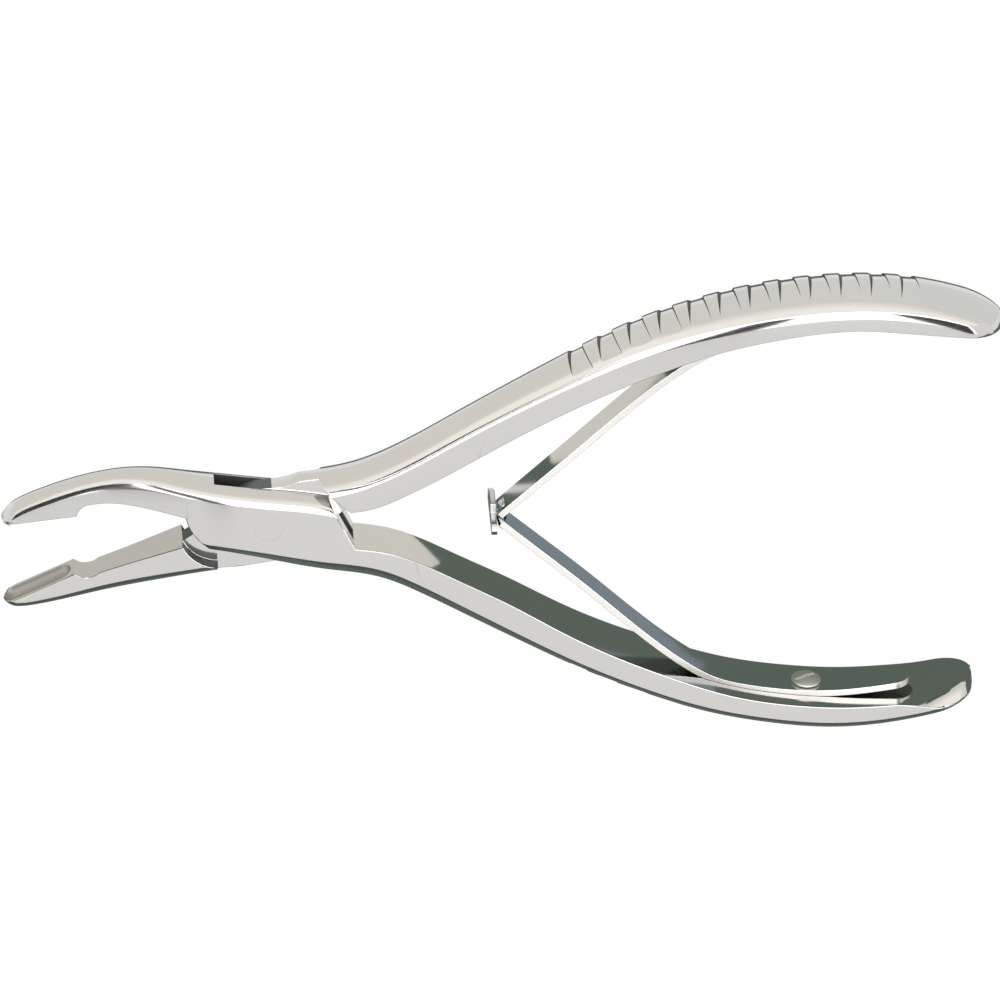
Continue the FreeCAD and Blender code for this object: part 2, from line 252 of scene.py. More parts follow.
def half_width(x):
    jaw = eased(x, (-25, -4), JAW_WIDTH, BOX_WIDTH)
    return (jaw + eased(x, (25, 75), 0, GRIP_WIDTH - BOX_WIDTH)) / 2


def rounding(x):
    """Radius of the polished edge between side and crown."""
    return eased(x, (-36, -20), 1.0, 1.5) + eased(x, (30, 75), 0, 0.5)


def low_share(x):
    """On the lower backs the rounding shrinks from the jaws to the handles."""
    return eased(x, (-18, 0), 1.1, 0.5)


def crown_side(x, width, rise, share=1):
    """Points of one crowned back as (out, up), from the flat side to the apex."""
    radius = (width ** 2 + rise ** 2) / (2 * rise)
    centre = rise - radius
    fillet = min(rounding(x) * share, 0.8 * width)
    inset = width - fillet
    foot = centre + math.sqrt((radius - fillet) ** 2 - inset ** 2)
    turn = math.atan2(foot - centre, inset)
    points = [(inset + fillet * math.cos(turn * i / 6), foot + fillet * math.sin(turn * i / 6))
              for i in range(7)]
    points += [(radius * math.cos(turn + (math.pi / 2 - turn) * i / 8),
                centre + radius * math.sin(turn + (math.pi / 2 - turn) * i / 8))
               for i in range(1, 9)]
    return points


def forged_bar(name, low_knots, high_knots, tail_x):
    low, high = guide(low_knots), guide(high_knots)
    nose, grip = JAW_WIDTH / 2, GRIP_WIDTH / 2
    turns = [math.radians(angle) for angle in range(6, 90, 7)]
    stations = [(JAW_TIP_X + nose * (1 - math.cos(turn)), math.sin(turn)) for turn in turns]
    first, last = JAW_TIP_X + nose, tail_x - grip
    stations += [(x, 1) for x in np.linspace(first, last, round(last - first) + 1)]
    stations += [(tail_x - grip * (1 - math.cos(turn)), math.sin(turn)) for turn in turns[::-1]]
    rings = []
    for x, share in stations:
        width = half_width(x) * share
        high_side = crown_side(x, width, min(HIGH_RISE(x) * share ** 0.4, 0.9 * width))
        low_side = crown_side(x, width, min(LOW_RISE(x) * share ** 0.4, 0.9 * width),
                              low_share(x))
        top = [(x, high(x) + up, out) for out, up in high_side]
        base = [(x, low(x) - up, out) for out, up in low_side]
        rings.append(top + [(x, y, -z) for x, y, z in top[-2::-1]]
                     + [(x, y, -z) for x, y, z in base] + base[-2::-1])
    return skin(name, rings)


print("bar width at jaw, lock and grip", [round(2 * half_width(x), 2) for x in (-30, 0, 80)])

# %% [markdown]
# ## Cutters that both halves share
# The cup is bitten into the jaw with a ball-ended cutter, the spring seat is a shallow
# pocket, and the grip grooves are cut across the crown by a narrow wheel that goes deeper
# on its way over the back. Each cutter carries its own material for the faces it cuts:
# the groove walls get a near-black steel and the cup a darker, rougher one. These colours
# are painted shade for the shade that falls in these hollows. The lower handle's tail also
# gets a rounded near edge, as in the photograph.

# %% Cutters
RIM_OFFSET = 4.9
BOX_RIM_ANGLE = 6.3
TONGUE_RIM_ANGLE = 25.3
CUP_RADIUS = 1.85
CUP_DEPTH = 1.15
CUP_X = (-35.9, -29.4)
LEAF_THICKNESS = 1.0
POCKET_CLEARANCE = 0.08
POCKET_START_X = 56.0
SCREW_X = 76.1
FOOT_HALF_WIDTH = 2.5
TIP_HALF_WIDTH = 1.95
TAPER_END_X = 75
SCREW_FIT = 0.03
TAIL_LENGTH, TAIL_REACH, TAIL_DEPTH = 12, 3, 2


def rim_y(x, angle):
    """Height of a jaw's rim line."""
    slope = math.radians(angle)
    return RIM_OFFSET / math.cos(slope) + x * math.tan(slope)


def cup(angle, side):
    """Cutter for the cup of a jaw: a channel with a ball at each end."""
    slope = math.radians(angle)
    along = Vector((math.cos(slope), math.sin(slope), 0))
    normal = Vector((-math.sin(slope), math.cos(slope), 0)) * side
    rings = []
    for x, signs in ((CUP_X[0], range(-86, 1, 8)), (CUP_X[1], range(2, 90, 8))):
        middle = Vector((x, rim_y(x, angle), 0)) + normal * (CUP_RADIUS - CUP_DEPTH)
        for degrees in signs:
            lean = math.radians(degrees)
            ring = []
            for step in range(40):
                turn = math.tau * step / 40
                out = normal * math.cos(turn) + Vector((0, 0, math.sin(turn)))
                ring.append(middle + along * CUP_RADIUS * math.sin(lean)
                            + out * CUP_RADIUS * math.cos(lean))
            rings.append(ring)
    tool = skin("cup_cutter", rings)
    # The cup faces get the darker steel: painted shade in the hollow.
    tool.data.materials.append(CUP_SHADE_STEEL)
    return tool


def seat_frame(knots, x, flip=False):
    """Place and turn of something that stands on a line at x."""
    line = guide(knots)
    lean = math.atan2(line(x + 0.05) - line(x - 0.05), 0.1) + (math.pi if flip else 0)
    return Matrix.Translation((x, line(x), 0)) @ Matrix.Rotation(lean, 4, "Z")


def strip(points, left, right):
    """Outline of a band that runs along a line."""
    line = smooth_run(points)
    upper, lower = [], []
    for (ax, ay), (bx, by), (x, y) in zip([line[0]] + line, line[1:] + [line[-1]], line):
        length = math.hypot(bx - ax, by - ay)
        nx, ny = -(by - ay) / length, (bx - ax) / length
        upper.append((x + nx * left, y + ny * left))
        lower.append((x - nx * right, y - ny * right))
    return upper + lower[::-1]


def leaf_plan(knots, extra):
    """What is left of a leaf when it is seen from above: tapered, with a round foot."""
    wide, thin = FOOT_HALF_WIDTH + extra, TIP_HALF_WIDTH + extra
    start, end = knots[0][0] - 3, knots[-1][0] + extra
    turn = end - wide
    foot = arc_run((turn, -wide), (end, 0), (turn, wide), 24)
    tool = plate("leaf_plan", [(start, thin), (start, -thin), (TAPER_END_X, -wide)] + foot
                 + [(TAPER_END_X, wide)], -60, 60)
    tool.data.transform(Matrix.Rotation(math.pi / 2, 4, "X"))
    return tool


def spring_pocket(knots, opens_up):
    """Cutter for the shallow seat of a leaf in its handle."""
    deep = LEAF_THICKNESS / 2 + POCKET_CLEARANCE
    left, right = (4, deep) if opens_up else (deep, 4)
    tool = plate("pocket_cutter", strip(knots, left, right), -6, 6)
    carve(tool, leaf_plan(knots, POCKET_CLEARANCE), "INTERSECT")
    limit = [(POCKET_START_X, -60), (120, -60), (120, 60), (POCKET_START_X, 60)]
    carve(tool, plate("pocket_limit", limit, -8, 8), "INTERSECT")
    return tool


def tail_rounder(knots, tail_x):
    """Cutter that rounds the near inner edge of a handle more and more towards its tail."""
    inner, grip = guide(knots), GRIP_WIDTH / 2
    rings = []
    for x in np.linspace(tail_x - TAIL_LENGTH - 2, tail_x + 1, 24):
        part = min(max((x - tail_x + grip) / grip, 0), 1)
        edge = grip * math.sqrt(1 - part * part)
        drop = eased(x, (tail_x - TAIL_LENGTH, tail_x - 1), 0, TAIL_DEPTH)
        ring = [Vector((x, inner(x) + 6, z)) for z in (6.5, -6.5)]
        for z in np.linspace(-6.5, 6.5, 27):
            down = drop * max(0, (z - edge + TAIL_REACH) / TAIL_REACH) ** 2
            ring.append(Vector((x, inner(x) + 0.05 - down, z)))
        rings.append(ring)
    return skin("tail_rounder", rings)


def screw_hole(knots, radius, flip):
    tool = upright("screw_drill", radius, -3.2, 3, 48)
    tool.data.transform(seat_frame(knots, SCREW_X, flip) @ Matrix.Rotation(-math.pi / 2, 4, "X"))
    return tool


print("the upper rim passes", round(rim_y(0, BOX_RIM_ANGLE), 2), "mm above the pivot")

# %% [markdown]
# ## Steel as it is polished
# Surgical steel is polished until it mirrors its surroundings softly. A mirror with
# nothing on it looks like a computer picture, so one node group gives the fine marks of
# the polishing wheel, slow waves of a hand-held surface and faint smudges. The group is
# built once and put into every steel with its own strengths.

# %% Steel materials
def socket(group, name, kind, direction, value=None):
    """Give a node group one input or output."""
    item = group.interface.new_socket(name=name, in_out=direction, socket_type=kind)
    if value is not None:
        item.default_value = value
    return item


def node(tree, kind, **settings):
    made = tree.nodes.new(kind)
    for key, value in settings.items():
        setattr(made, key, value)
    return made


def noise(tree, source, scale, detail, stretch):
    """Noise in object space, stretched along the axes."""
    mapping = node(tree, "ShaderNodeMapping")
    mapping.inputs["Scale"].default_value = stretch
    texture = node(tree, "ShaderNodeTexNoise")
    texture.inputs["Scale"].default_value = scale
    texture.inputs["Detail"].default_value = detail
    tree.links.new(source, mapping.inputs["Vector"])
    tree.links.new(mapping.outputs["Vector"], texture.inputs["Vector"])
    return texture.outputs["Fac"]


def math_node(tree, operation, first, second):
    made = node(tree, "ShaderNodeMath", operation=operation)
    for place, value in enumerate((first, second)):
        if isinstance(value, (int, float)):
            made.inputs[place].default_value = value
        else:
            tree.links.new(value, made.inputs[place])
    return made.outputs["Value"]


polish = bpy.data.node_groups.new("polished_steel", "ShaderNodeTree")
socket(polish, "Roughness", "NodeSocketFloat", "INPUT", 0.15)
socket(polish, "Smudges", "NodeSocketFloat", "INPUT", 0.06)
socket(polish, "Light", "NodeSocketColor", "INPUT", (0.66, 0.65, 0.63, 1))
socket(polish, "Dark", "NodeSocketColor", "INPUT", (0.6, 0.59, 0.57, 1))
socket(polish, "Color", "NodeSocketColor", "OUTPUT")
socket(polish, "Roughness", "NodeSocketFloat", "OUTPUT")
socket(polish, "Height", "NodeSocketFloat", "OUTPUT")
inlet = node(polish, "NodeGroupInput")
outlet = node(polish, "NodeGroupOutput")
place = node(polish, "ShaderNodeTexCoord").outputs["Object"]
smudge = noise(polish, place, 60, 4, (1, 1, 1))
marks = noise(polish, place, 900, 6, (0.12, 1, 1))
waves = noise(polish, place, 45, 1, (1, 1, 1))
mix = node(polish, "ShaderNodeMix", data_type="RGBA")
polish.links.new(smudge, mix.inputs["Factor"])
polish.links.new(inlet.outputs["Light"], mix.inputs["A"])
polish.links.new(inlet.outputs["Dark"], mix.inputs["B"])
spread = math_node(polish, "MULTIPLY", smudge, inlet.outputs["Smudges"])
marks_share = math_node(polish, "MULTIPLY", marks, 0.05)
rough = math_node(polish, "ADD", inlet.outputs["Roughness"],
                  math_node(polish, "ADD", spread, marks_share))
height = math_node(polish, "ADD", math_node(polish, "MULTIPLY", marks, 0.03), waves)
polish.links.new(mix.outputs["Result"], outlet.inputs["Color"])
polish.links.new(rough, outlet.inputs["Roughness"])
polish.links.new(height, outlet.inputs["Height"])


def steel(name, light, dark, roughness, smudges, bump):
    """Metal that takes its marks from the shared group."""
    material = bpy.data.materials.new(name)
    material.use_nodes = True
    tree = material.node_tree
    shader = tree.nodes["Principled BSDF"]
    shader.inputs["Metallic"].default_value = 1
    group = node(tree, "ShaderNodeGroup", node_tree=polish)
    group.inputs["Roughness"].default_value = roughness
    group.inputs["Smudges"].default_value = smudges
    group.inputs["Light"].default_value = (*light, 1)
    group.inputs["Dark"].default_value = (*dark, 1)
    relief = node(tree, "ShaderNodeBump")
    relief.inputs["Strength"].default_value = bump
    relief.inputs["Distance"].default_value = 0.0002
    tree.links.new(group.outputs["Color"], shader.inputs["Base Color"])
    tree.links.new(group.outputs["Roughness"], shader.inputs["Roughness"])
    tree.links.new(group.outputs["Height"], relief.inputs["Height"])
    tree.links.new(relief.outputs["Normal"], shader.inputs["Normal"])
    return material


BODY_STEEL = steel("body_steel", (0.66, 0.65, 0.63), (0.61, 0.6, 0.575), 0.07, 0.05, 0.1)
# Milled steel: rough like a milled face, with its colour darkened far below steel as painted shade
# in the lock's slot and window.
MILLED_SHADE_STEEL = steel("milled_painted_shade", (0.17, 0.19, 0.18), (0.1, 0.115, 0.105), 0.5, 0.1, 0.1)
# Cup steel: rougher than the polish, and darkened as painted shade inside the cups.
CUP_SHADE_STEEL = steel("cup_painted_shade", (0.46, 0.44, 0.4), (0.33, 0.32, 0.29), 0.36, 0.1, 0.15)
# A near-black steel: painted shade for groove walls, the cheeks' front walls and the edges along
# the slot.
DARK_SHADE_STEEL = steel("near_black_painted_shade", (0.1, 0.11, 0.11), (0.05, 0.055, 0.055), 0.4, 0.1, 0.1)
LEAF_STEEL = steel("spring_steel", (0.62, 0.63, 0.62), (0.57, 0.58, 0.57), 0.12, 0.06, 0.06)
# A lighter steel for the leaf edges: painted highlight.
EDGE_HIGHLIGHT_STEEL = steel("edge_painted_highlight", (0.78, 0.77, 0.74), (0.72, 0.71, 0.68), 0.2, 0.06, 0.04)
# The screw steel is much lighter than steel: painted light, so the domed heads show bright.
SCREW_LIGHT_STEEL = steel("screw_steel", (0.9, 0.87, 0.81), (0.74, 0.71, 0.66), 0.42, 0.1, 0.15)
print("steels", [material.name for material in bpy.data.materials if material.node_tree])

# %% [markdown]
# ## Grip grooves
# Twelve grooves cross each back. A groove is deepest a little beyond the ridge and gets
# shallower to both sides, so it runs out of the steel on the near side. Its floor widens
# there like a fan, and a slanted wall closes it at the other end.

# %% Grooves
GROOVE_COUNT = 12
GROOVE_FIRST_X = 42.95
GROOVE_PITCH = 4.1
GROOVE_WIDTH = 2.1
GROOVE_DEPTH = 0.27
GROOVE_REACH = 3.5
DEEPEST, FAR_REACH = math.radians(-25), math.radians(30)
WALL_SLANT = 0.6
FAN = 0.95


def groove_cutter(knots, rise_line, x, flip):
    """One groove: deepest beyond the ridge, running out near the side that is seen."""
    line = guide(knots)
    slope = 10 * (line(x + 0.1) - line(x))
    width, rise = half_width(x), rise_line(x) * math.cos(math.atan(slope))
    crown_radius = (width ** 2 + rise ** 2) / (2 * rise)
    end = GROOVE_REACH / crown_radius
    rings = []
    for turn in np.linspace(math.radians(-70), end + 0.07, 26):
        away = (turn - DEEPEST) / (end - DEEPEST if turn > DEEPEST else FAR_REACH)
        share = max(1 - away * away, -0.15)
        right = GROOVE_WIDTH + FAN * max(away, 0)
        profile = [(WALL_SLANT * max(share, 0.02), -GROOVE_DEPTH * share),
                   (right, -GROOVE_DEPTH * share), (right + 0.6, 0.5), (-0.9, 0.5)]
        rings.append([Vector((along, rise - crown_radius + (crown_radius + up) * math.cos(turn),
                              (-1 if flip else 1) * (crown_radius + up) * math.sin(turn)))
                      for along, up in profile])
    tool = skin("groove_cutter", rings)
    # The groove floor keeps the body steel. Its walls get the near-black steel as painted shade in
    # the groove.
    tool.data.materials.append(BODY_STEEL)
    tool.data.materials.append(DARK_SHADE_STEEL)
    for face in tool.data.polygons:
        if abs(face.normal.x) > 0.3:
            face.material_index = 1
    turn = Matrix.Rotation(math.pi, 4, "X") if flip else Matrix.Identity(4)
    tool.data.transform(seat_frame(knots, x) @ turn)
    return tool


def cut_grooves(piece, knots, rise_line, flip):
    for index in range(GROOVE_COUNT):
        x = GROOVE_FIRST_X + index * GROOVE_PITCH
        carve(piece, groove_cutter(knots, rise_line, x, flip))


print(GROOVE_COUNT, "grooves will take", GROOVE_COUNT * GROOVE_PITCH, "mm of each handle")

# %% [markdown]
# ## Finishing a piece
# Every sharp edge is broken a little by polishing, and that small bevel catches the light
# on the real tool. After it the small gaps that booleans leave at slivers are closed, and
# the piece is shaded smooth, brought from millimetres to metres, and tied to the body
# that it moves with.

# %% Finishing
SHARP_ANGLE = math.radians(32)
FORGING_BREAK, PIN_BREAK, LEAF_BREAK, SCREW_BREAK = 0.12, 0.015, 0.08, 0.06


def break_edges(piece, width, segments=2):
    edit(piece, (bpy.ops.mesh.remove_doubles, {"threshold": 0.01}),
         (bpy.ops.mesh.dissolve_degenerate, {"threshold": 0.01}))
    modify(piece, "BEVEL", width=width, segments=segments, limit_method="ANGLE",
           angle_limit=SHARP_ANGLE, use_clamp_overlap=False, miter_outer="MITER_ARC")


def finish_piece(piece, cad_node, body=None):
    edit(piece, (bpy.ops.mesh.fill_holes, {"sides": 4}))
    select_only(piece)
    bpy.ops.object.shade_smooth_by_angle(angle=SHARP_ANGLE)
    modify(piece, "WEIGHTED_NORMAL", keep_sharp=True, weight=50)
    piece.data.transform(Matrix.Scale(MM, 4) @ Matrix.Translation((0, 0, MIDDLE_Z)))
    if body:
        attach(piece, body)
    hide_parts(cad_node)
    sides = [round(size / MM, 2) for size in piece.dimensions]
    print(piece.name, len(piece.data.polygons), "faces,", loose_edges(piece), "loose edges", sides)


print("edges sharper than", round(math.degrees(SHARP_ANGLE)), "degrees get broken")

# %% [markdown]
# ## The box half
# This half carries the upper jaw and the lower handle. Its middle is the box: a slot runs
# through it, and the two cheeks left beside the slot hold the pin. The bar is trimmed to
# its side profile first, then the slot, the cup and the spring seat are milled, and the
# bore is drilled last so that the rivet stays flush in it.

# %% The box half
BOX_HALF_LOW = [(-38.2, -4), (-24, -3.2), (-14, -2.5), (-8, -2.9), (0, -4.3), (8, -5.95),
                (16, -7.65), (21.1, -10.25), (27, -13.9), (34.6, -18.6), (43, -23.5),
                (52, -27.85), (61.7, -31.5), (71, -33.6), (79.4, -34.6), (87.5, -34.2),
                (94, -33), (104, -30)]
BOX_HALF_HIGH = [(-38.2, -0.1), (-36, 2), (-33, 3.65), (-28.5, 5.3), (-24, 6.45), (-20, 6.9),
                 (-16, 6.65), (-12, 5.85), (-6, 4.7), (0, 3.75), (8, 2.4), (16, -0.4),
                 (27, -5.9), (43, -15), (61.7, -22.7), (79.4, -25.7), (104, -20)]
BOX_TAIL_X = 99.8
LOWER_LEAF_LINE = [(32.75, -1.48), (38, -6.35), (45, -12.9), (50.7, -18.55), (54.9, -22.5),
                   (59.1, -26), (63.4, -28.6), (67.6, -29.85), (71.8, -30.6), (76, -31.05),
                   (80.2, -31.15), (84.5, -30.85), (88, -30.4), (91.2, -29.9)]
SLOT_WIDTH = 2.8
PIN_RADIUS = 2.0
SCREW_RADIUS = 1.0
TAIL_LINE = [(84, -31.8), (87.5, -31.7), (94, -31.1), (99.8, -29.6), (102, -28.9)]

start = (-45, rim_y(-45, BOX_RIM_ANGLE))
heel = (-26.8, rim_y(-26.8, BOX_RIM_ANGLE))
box_profile = outline([
    [start, heel],
    [heel, (-26.3, 3.1), (-25.3, 3.75)],
    [(-25.3, 3.75), (-23.3, 4.0), (-19, 3.65), (-14.6, 2.6), (-11.6, 1.75)],
    [(-11.6, 1.75), (-10.6, -0.9), (-8.8, -2.9)],
    [(-8.8, -2.9), (-7.4, -6)],
    [(-7.4, -6), (-7.4, -50)],
    [(-7.4, -50), (96, -50)],
    [(96, -50), (96, -37)],
    [(96, -37), (99.3, -33.2), (BOX_TAIL_X, -29.6)],
    [(BOX_TAIL_X, -29.6), (94, -31.1), (87.5, -31.7), (81.1, -31.8), (74.6, -31.25),
     (64.9, -29.3), (57, -26.4), (48.3, -22.5), (40.5, -18.1), (34.1, -14), (26.7, -9.7),
     (21.1, -6.55), (16.4, -4.7), (12.1, -3.9)],
    [(12.1, -3.9), (9.75, 1.0), (7.7, 5.2)],
    [(7.7, 5.2), (7.2, 20)],
    [(7.2, 20), (-45, 20)],
    [(-45, 20), start]])

box_half = forged_bar("box_half_forging", BOX_HALF_LOW, BOX_HALF_HIGH, BOX_TAIL_X)
box_half.data.materials.append(BODY_STEEL)
carve(box_half, plate("profile", box_profile, -15, 15), "INTERSECT")
slot_profile = [(-7.5, 20), (-7.5, 3.5), (-14, 2.4), (-14, -20), (7.5, -20), (7.5, -4.5),
                (13.5, -3.4), (13.5, 20)]
slot_cutter = plate("slot_cutter", slot_profile, -SLOT_WIDTH / 2, SLOT_WIDTH / 2)
# The slot walls get the dark milled steel: painted shade inside the slot.
slot_cutter.data.materials.append(MILLED_SHADE_STEEL)
carve(box_half, slot_cutter)
carve(box_half, cup(BOX_RIM_ANGLE, -1))
carve(box_half, tail_rounder(TAIL_LINE, BOX_TAIL_X))
break_edges(box_half, FORGING_BREAK)
# The broken edges at the front of the cheeks and along the slot get the near-black steel: painted
# shade, a dark line where the parts meet in place of a highlight.
box_half.data.materials.append(DARK_SHADE_STEEL)
for face in box_half.data.polygons:
    x, y, z = face.center
    front = -12 < x < -8.6 and -3 < y < 1.9 and abs(z) > 1.5
    slot_edge = -2 < x < 7.9 and y > 2 and 1.38 < abs(z) < 1.56
    if (front or slot_edge) and 0.2 < abs(face.normal.z) < 0.96:
        face.material_index = len(box_half.data.materials) - 1
carve(box_half, spring_pocket(LOWER_LEAF_LINE, True))
carve(box_half, screw_hole(LOWER_LEAF_LINE, SCREW_RADIUS + SCREW_FIT, False))
cut_grooves(box_half, BOX_HALF_LOW, LOW_RISE, True)
carve(box_half, upright("bore", PIN_RADIUS, -10, 10))
finish_piece(box_half, "box_half", "box_half")

# %% [markdown]
# ## The tongue half
# The other half carries the lower jaw and the upper handle. In its middle both sides are
# milled away until a tongue of 2.7 mm is left, which swings in the slot of the box. The
# forging is made the same way, and one cutter above and one below clear the cheeks. Their
# front walls get a near-black steel and the floor of the lock's window a dark, rough milled
# steel. Both are painted shade for the shade inside the lock.

# %% The tongue half
TONGUE_HALF_LOW = [(-38.2, -11.2), (-36.8, -12.1), (-35.2, -12.45), (-33, -12.25),
                   (-24, -10.25), (-14.6, -7.95), (-7.6, -6.3), (0, -5), (12.7, -1.6),
                   (26.5, 5.4), (43.6, 15), (60.4, 22.2), (74.5, 24.9), (89, 24.8), (104, 20.8)]
TONGUE_HALF_HIGH = [(-38.2, -5), (-24, -2), (-14.6, 1), (-7.6, 3), (0, 4.3), (6.5, 5.0),
                    (12.7, 6.2), (18.3, 8.6), (26.5, 13.35), (35.2, 18.4), (43.6, 23),
                    (52, 27.1), (60.4, 30), (67.5, 31.7), (74.5, 32.75), (82.9, 33.1),
                    (89, 32.6), (96, 31), (104, 28)]
TONGUE_TAIL_X = 102.8
UPPER_LEAF_LINE = [(32.5, -0.2), (38.3, 5.3), (44, 10.7), (49.8, 16.25), (54.9, 20.8),
                   (58.5, 23.55), (62.5, 26), (67, 27.75), (71.5, 28.7), (77, 29.45),
                   (84, 29.8), (90, 29.2)]
TONGUE_HALF_THICKNESS = SLOT_WIDTH / 2 - 0.05
PIN_CLEARANCE = 0.04

start = (-45, rim_y(-45, TONGUE_RIM_ANGLE))
heel = (-27.4, rim_y(-27.4, TONGUE_RIM_ANGLE))
tongue_profile = outline([
    [start, heel],
    [heel, (-26.6, -8.0)],
    [(-26.6, -8.0), (-25.6, -8.15), (-23.9, -7.4)],
    [(-23.9, -7.4), (-12.1, -3.0)],
    [(-12.1, -3.0), (-5.6, 1.6)],
    [(-5.6, 1.6), (-4.3, 4.0), (-1.8, 5.1), (1.8, 5.4), (5, 6.5)],
    [(5, 6.5), (5, 60)],
    [(5, 60), (99, 60)],
    [(99, 60), (99, 34.4)],
    [(99, 34.4), (102.1, 31.5), (TONGUE_TAIL_X, 28.2)],
    [(TONGUE_TAIL_X, 28.2), (94.2, 29.15), (88.5, 29.85), (82.9, 30.4), (77.3, 30.2),
     (68.8, 28.85), (63.2, 27.4), (57.6, 25.3), (49.2, 21.6), (40.8, 17.2), (32.3, 12.2),
     (23.9, 7.1), (18.3, 4.1), (14.8, 2.65), (11.5, 2.1)],
    [(11.5, 2.1), (6, -3.4)],
    [(6, -3.4), (4.6, -5.2), (2.2, -6.5)],
    [(2.2, -6.5), (-2.5, -7.3), (-7.2, -7.7)],
    [(-7.2, -7.7), (-7.2, -60)],
    [(-7.2, -60), (-45, -60)],
    [(-45, -60), start]])
cheek_profile = outline([
    [(-12.1, -3.0), (-10.4, -5.2), (-7.2, -6.4)],
    [(-7.2, -6.4), (-7.0, -20)],
    [(-7.0, -20), (30, -20)],
    [(30, -20), (11.5, 2.1)],
    [(11.5, 2.1), (8.95, 4.45), (6.5, 7.7)],
    [(6.5, 7.7), (6.2, 30)],
    [(6.2, 30), (-30, 30)],
    [(-30, 30), (-12.1, -3.0)]])

tongue_half = forged_bar("tongue_half_forging", TONGUE_HALF_LOW, TONGUE_HALF_HIGH,
                         TONGUE_TAIL_X)
tongue_half.data.materials.append(BODY_STEEL)
carve(tongue_half, plate("profile", tongue_profile, -15, 15), "INTERSECT")
for low, high in ((TONGUE_HALF_THICKNESS, 12), (-12, -TONGUE_HALF_THICKNESS)):
    cheek_cutter = plate("cheek_cutter", cheek_profile, low, high)
    # The cheek cutters' front walls get the near-black steel: painted shade in front of the lock.
    cheek_cutter.data.materials.append(BODY_STEEL)
    cheek_cutter.data.materials.append(DARK_SHADE_STEEL)
    for face in cheek_cutter.data.polygons:
        face.material_index = 1 if abs(face.normal.z) < 0.5 and face.center.x < -5 else 0
    carve(tongue_half, cheek_cutter)
carve(tongue_half, cup(TONGUE_RIM_ANGLE, 1))
# Faces of the tongue that look up into the lock's window get the dark milled steel: painted shade
# in the window.
tongue_half.data.materials.append(MILLED_SHADE_STEEL)
milled = len(tongue_half.data.materials) - 1
for face in tongue_half.data.polygons:
    if face.normal.y > 0.2 and abs(face.center.z) < 1.3 and -13 < face.center.x < 0.8:
        face.material_index = milled
break_edges(tongue_half, FORGING_BREAK)
carve(tongue_half, spring_pocket(UPPER_LEAF_LINE, False))
carve(tongue_half, screw_hole(UPPER_LEAF_LINE, SCREW_RADIUS + SCREW_FIT, True))
cut_grooves(tongue_half, TONGUE_HALF_HIGH, HIGH_RISE, False)
carve(tongue_half, upright("bore", PIN_RADIUS + PIN_CLEARANCE, -10, 10))
finish_piece(tongue_half, "tongue_half", "tongue_half")

# %% [markdown]
# ## The pivot pin
# The pin is a rivet. Its ends are peened into the cheeks and ground flush, so only a
# hair-thin ring tells where it is. It gets the same number of sides as its bore.

# %% The pivot pin
pin = upright("pivot_rivet", PIN_RADIUS, -BOX_WIDTH / 2, BOX_WIDTH / 2)
pin.data.materials.append(BODY_STEEL)
break_edges(pin, PIN_BREAK, 1)
finish_piece(pin, "pivot_pin", "box_half")

# %% [markdown]
# ## The two spring leaves
# Each leaf is cut from strip steel, bent to a line and screwed to its handle. The lower
# one ends in a neck with a T head, and the upper one in a fork that straddles the neck,
# so they push the handles apart and cannot slip off each other. The strip outline is
# extruded across, then trimmed to its plan.

# %% The two spring leaves
def leaf(name, knots, flip):
    piece = plate(name, strip(knots, LEAF_THICKNESS / 2, LEAF_THICKNESS / 2), -6, 6)
    piece.data.materials.append(LEAF_STEEL)
    plan = leaf_plan(knots, 0)
    # The cut edges of the leaf get the lighter steel: a painted highlight along them.
    plan.data.materials.append(EDGE_HIGHLIGHT_STEEL)
    carve(piece, plan, "INTERSECT")
    carve(piece, screw_hole(knots, SCREW_RADIUS + 0.1, flip))
    return piece


HEAD_X, HEAD_Y = 31.55, -0.53
HEAD_HALF_WIDTH, HEAD_HALF_HEIGHT, HEAD_HALF_THICKNESS = 5.3, 1.0, 0.4
HEAD_CORNER = 0.95
TIP_TOP_Y = 1.9
near_x, far_x = HEAD_X + HEAD_HALF_THICKNESS, HEAD_X - HEAD_HALF_THICKNESS

lower_leaf = leaf("lower_leaf_blade", LOWER_LEAF_LINE, False)
bend = arc_run((far_x, 0.1), (far_x + 0.22, -0.85), (far_x + 0.9, -1.52), 8)
inner_bend = arc_run((near_x + 0.6, -0.62), (near_x + 0.12, -0.12), (near_x, 0.5), 6)
neck = [(32.4, -1.84), (32.9, -2.32), (33.58, -1.58), (33.1, -1.12)]
tip_outline = [(far_x, TIP_TOP_Y)] + bend + neck + inner_bend + [(near_x, TIP_TOP_Y)]
carve(lower_leaf, plate("tip", tip_outline, -TIP_HALF_WIDTH, TIP_HALF_WIDTH), "UNION")
corner = HEAD_CORNER * (1 - math.sqrt(0.5))
head_runs = []
for side_z, side_y in ((1, 1), (-1, 1), (-1, -1), (1, -1)):
    z, y = side_z * HEAD_HALF_WIDTH, side_y * HEAD_HALF_HEIGHT
    near = (z, y - side_y * HEAD_CORNER)
    middle = (z - side_z * corner, y - side_y * corner)
    far = (z - side_z * HEAD_CORNER, y)
    head_runs += arc_run(near, middle, far, 6) if side_z * side_y > 0 else arc_run(
        far, middle, near, 6)
head = plate("head", head_runs, -HEAD_HALF_THICKNESS, HEAD_HALF_THICKNESS)
head.data.transform(Matrix.Translation((HEAD_X, HEAD_Y, 0)) @ Matrix.Rotation(
    math.pi / 2, 4, "Y"))
carve(lower_leaf, head, "UNION")

